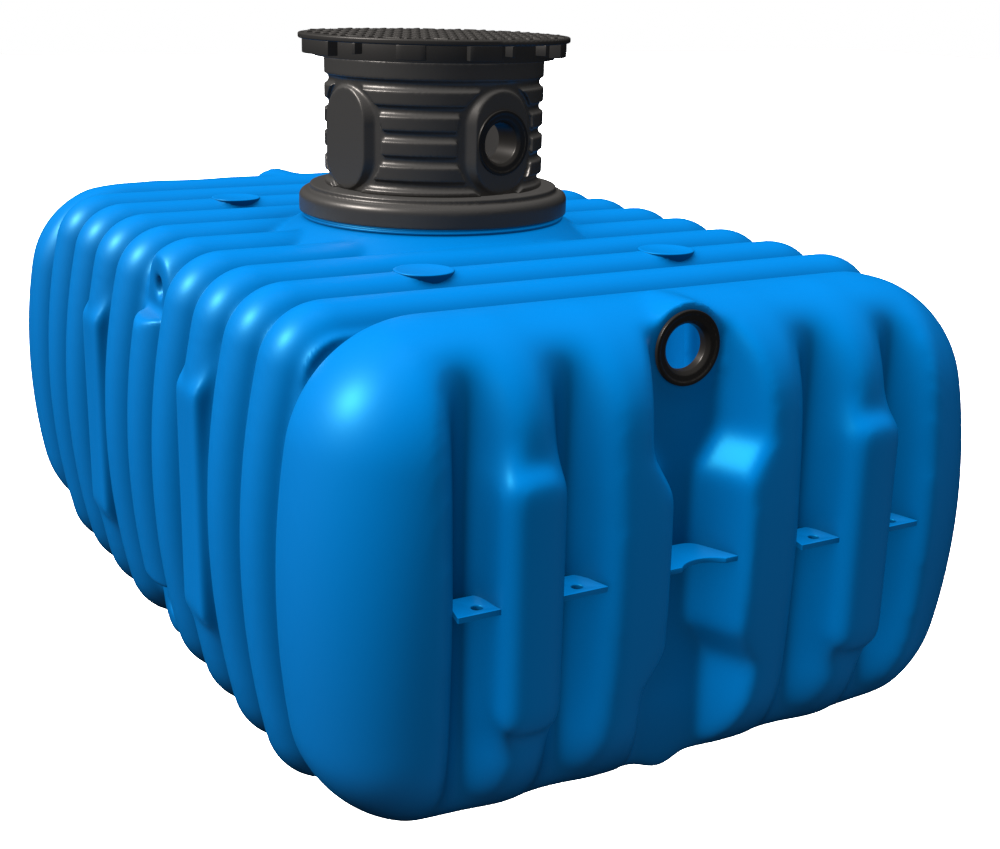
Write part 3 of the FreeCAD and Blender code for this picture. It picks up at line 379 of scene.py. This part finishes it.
SEAL_RADIUS = 91 * MM
SEAL_REACH = 1289.5 * MM
SEAL_RISE = 9 * MM
SEAL_SLEEVE = 18 * MM
SEAL_BEAD = 3.2 * MM
SLEEVE_LIP = 2 * MM
# how far each step of the flange lies inside the one before, and how far below it
SEAL_STEPS = ((8 * MM, 0), (4 * MM, 2.5 * MM), (13 * MM, 1.5 * MM), (9 * MM, 9 * MM))
rubber = surface("moulded EPDM rubber", "#100F0E", 0.36, "#FFF4EA", 0.14)


def seal(title, place, turn, rise, sleeve):
    # a ring that faces the front, turned about the upright axis
    bpy.ops.object.select_all(action="DESELECT")
    bpy.ops.mesh.primitive_cylinder_add(vertices=128, radius=SEAL_RADIUS, depth=rise,
                                        location=(0, 0, rise / 2))
    ring = bpy.context.object
    ring.name = title
    bpy.ops.object.transform_apply(location=True)
    pick(ring, lambda middle, normal: normal.z > 0.9)
    for inset, sink in SEAL_STEPS + ((SLEEVE_LIP, sleeve),):
        bpy.ops.mesh.inset(thickness=inset, depth=-sink)
    bpy.ops.mesh.delete(type="FACE")
    bpy.ops.object.mode_set(mode="OBJECT")
    remove_faces(ring, lambda middle, normal: normal.z < -0.9)
    change(ring, "round bead", "BEVEL", width=SEAL_BEAD, segments=4, limit_method="ANGLE",
           angle_limit=math.radians(12))
    bpy.ops.object.shade_smooth_by_angle(angle=math.radians(40))
    placed(ring, Matrix.Translation(place) @ Matrix.Rotation(turn, 4, "Z")
           @ Matrix.Rotation(math.pi / 2, 4, "X"))
    return ring


front_ring = seal("front_pipe_seal", (0, -SEAL_REACH, SEAL_HEIGHT), 0, SEAL_RISE, SEAL_SLEEVE)
dressed(front_ring, rubber, "seal_rubber", "front_seal")
back_ring = seal("back_pipe_seal", (0, SEAL_REACH, SEAL_HEIGHT), math.pi, SEAL_RISE, SEAL_SLEEVE)
dressed(back_ring, rubber, "seal_rubber", "back_seal")


# Shaft
# The shaft is blow-moulded from black polyethylene: a broad stepped flange and a grooved tube with four
# flat facets, all with soft edges and a satin skin.

SHAFT_GRAIN = 5 * MM
SHAFT_PASSES = 3
black_polyethylene = surface("moulded black polyethylene", "#201F1E", 0.38, "#FFF3E8", 0.24)
for title, name in (("shaft_flange", "shaft_base"), ("shaft_tube", "shaft_body")):
    piece = copied(title, name)
    softened(piece, SHAFT_GRAIN, SHAFT_PASSES)
    dressed(piece, black_polyethylene, "shaft_plastic", name)


# Port seal
# The same rubber ring as on the tank, but flatter and with a longer sleeve, in the bored facet of the
# shaft. The real seal has a sleeve; its extra length is painted shade, dark rubber in the port's hole.

PORT_TURN = math.radians(10)
PORT_REACH = 319 * MM
PORT_HEIGHT = 1475 * MM
PORT_RISE = 6 * MM
# painted shade: the sleeve reaches deeper than the real seal's, as dark rubber where the port's inside is in
# shade
PORT_SHADE_SLEEVE = 75 * MM
port_place = (PORT_REACH * math.sin(PORT_TURN), -PORT_REACH * math.cos(PORT_TURN), PORT_HEIGHT)
port_ring = seal("port_pipe_seal", port_place, PORT_TURN, PORT_RISE, PORT_SHADE_SLEEVE)
dressed(port_ring, rubber, "seal_rubber", "port_seal")


# Cover
# A glass-filled plastic cover that rests on the shaft's rim. Its plate carries short anti-slip bars, and
# its rim has blocks and thin plates all round.

COVER_EDGE = 1.5 * MM
cover_plastic = surface("glass-filled black polypropylene", "#191817", 0.44, "#FFF4EA", 0.16)
for name in ("cover_plate", "cover_skirt", "cover_lugs", "cover_gussets"):
    dressed(eased(name, COVER_EDGE), cover_plastic, "cover_plastic", name)


# Anti-slip bars
# Low bars with sloping sides, moulded on the cover's plate in two crossed rows.

COVER_TOP = 1759 * MM
GRIP_SIZE = (44 * MM, 13 * MM, 4 * MM)
GRIP_TAPER = (0.86, 0.55, 1)
GRIP_EDGE = 0.8 * MM
GRIP_LIFT = 1.2 * MM
GRIP_PITCH = 58 * MM
GRIP_FIELD = 372 * MM
GRIP_ROWS = 14
bpy.ops.object.select_all(action="DESELECT")
bpy.ops.mesh.primitive_cube_add(size=1)
bars = bpy.context.object
bars.name = "anti_slip_bars"
bars.scale = GRIP_SIZE
bpy.ops.object.transform_apply(scale=True)
pick(bars, lambda middle, normal: normal.z > 0.9)
bpy.ops.transform.resize(value=GRIP_TAPER)
bpy.ops.object.mode_set(mode="OBJECT")
change(bars, "eased bar", "BEVEL", width=GRIP_EDGE, segments=2)
only(bars)
bpy.ops.object.duplicate()
crossed = bpy.context.object
for row, turn, shift in ((bars, math.radians(45), 0), (crossed, math.radians(-45), GRIP_PITCH / 2)):
    start = shift - GRIP_ROWS / 2 * GRIP_PITCH
    placed(row, Matrix.Translation((start, start, COVER_TOP + GRIP_LIFT)) @ Matrix.Rotation(turn, 4, "Z"))
    for offset in ((GRIP_PITCH, 0, 0), (0, GRIP_PITCH, 0)):
        change(row, "bar row", "ARRAY", count=GRIP_ROWS + 1, use_relative_offset=False,
               use_constant_offset=True, constant_offset_displace=offset)
joined(bars, crossed)


def off_field(middle, normal):
    # faces of the bars whose centre lies outside the round field
    centre = [round(place / (GRIP_PITCH / 2)) * GRIP_PITCH / 2 for place in (middle.x, middle.y)]
    return math.hypot(*centre) > GRIP_FIELD


remove_faces(bars, off_field)
bpy.ops.object.shade_smooth_by_angle(angle=math.radians(35))
dressed(bars, cover_plastic, "cover_plastic")


# Studio
# A white floor and an even pale room, with a broad light from the left, one from above and a weak one
# from the front. None of them throws a shadow, and only the left one makes highlights.

FLOOR_SIZE = 60
FLOOR_GLOW = 0.2
ROOM_STRENGTH = 0.5
BACKDROP_STRENGTH = 1.0
bpy.ops.object.select_all(action="DESELECT")
bpy.ops.mesh.primitive_plane_add(size=FLOOR_SIZE)
floor = bpy.context.object
floor.name = "floor"
floor_paint = surface("matt white floor", "#F4F4F4", 0.9, "#FFFFFF", 0.3)
floor_shader = floor_paint.node_tree.nodes["Principled BSDF"]
floor_shader.inputs["Emission Color"].default_value = linear("#FFFFFF")
floor_shader.inputs["Emission Strength"].default_value = FLOOR_GLOW
floor.data.materials.append(floor_paint)
floor.visible_diffuse = False
floor.visible_glossy = False

world = bpy.data.worlds.new("studio")
bpy.context.scene.world = world
world.use_nodes = True
tree = world.node_tree
tree.nodes.clear()
path = node(tree, "ShaderNodeLightPath")
room = node(tree, "ShaderNodeBackground", Color=linear("#FFFFFF"), Strength=ROOM_STRENGTH)
backdrop = node(tree, "ShaderNodeBackground", Color=linear("#FFFFFF"), Strength=BACKDROP_STRENGTH)
mix = node(tree, "ShaderNodeMixShader", Fac=path.outputs["Is Camera Ray"])
tree.links.new(room.outputs[0], mix.inputs[1])
tree.links.new(backdrop.outputs[0], mix.inputs[2])
node(tree, "ShaderNodeOutputWorld", Surface=mix.outputs[0])
world.cycles_visibility.glossy = False


def lamp(name, source, strength, spread, shines):
    # a broad far light that shines from the given direction
    light = bpy.data.lights.new(name, "SUN")
    light.energy = strength
    light.angle = math.radians(spread)
    light.use_shadow = False
    held = bpy.data.objects.new(name, light)
    held.rotation_euler = (-Vector(source)).to_track_quat("-Z", "Y").to_euler()
    held.visible_glossy = shines
    bpy.context.scene.collection.objects.link(held)


lamp("left light", (-0.73, 0.18, 0.66), 12.2, 14, True)
lamp("top light", (0.0, 0.1, 1.0), 10.4, 30, False)
lamp("front light", (0.2, -0.95, 0.2), 1.8, 40, False)


# Camera
# It stands at the front left, a little above the cover, and leans very slightly.

IMAGE_WIDTH_PX = 1000
FOCAL_PX = 1493
CAMERA_PLACE = (-2.075, -3.999, 1.931)
CAMERA_YAW, CAMERA_PITCH, CAMERA_ROLL = (math.radians(angle) for angle in (30.19, -16.79, 1.35))
camera_data = bpy.data.cameras.new("camera")
camera_data.sensor_width = 36
camera_data.lens = FOCAL_PX / IMAGE_WIDTH_PX * camera_data.sensor_width
camera = bpy.data.objects.new("camera", camera_data)
camera.matrix_world = (Matrix.Translation(CAMERA_PLACE) @ Matrix.Rotation(-CAMERA_YAW, 4, "Z")
                       @ Matrix.Rotation(math.pi / 2 + CAMERA_PITCH, 4, "X")
                       @ Matrix.Rotation(CAMERA_ROLL, 4, "Z"))
bpy.context.scene.collection.objects.link(camera)
bpy.context.scene.camera = camera
bpy.context.scene.view_settings.view_transform = "Standard"
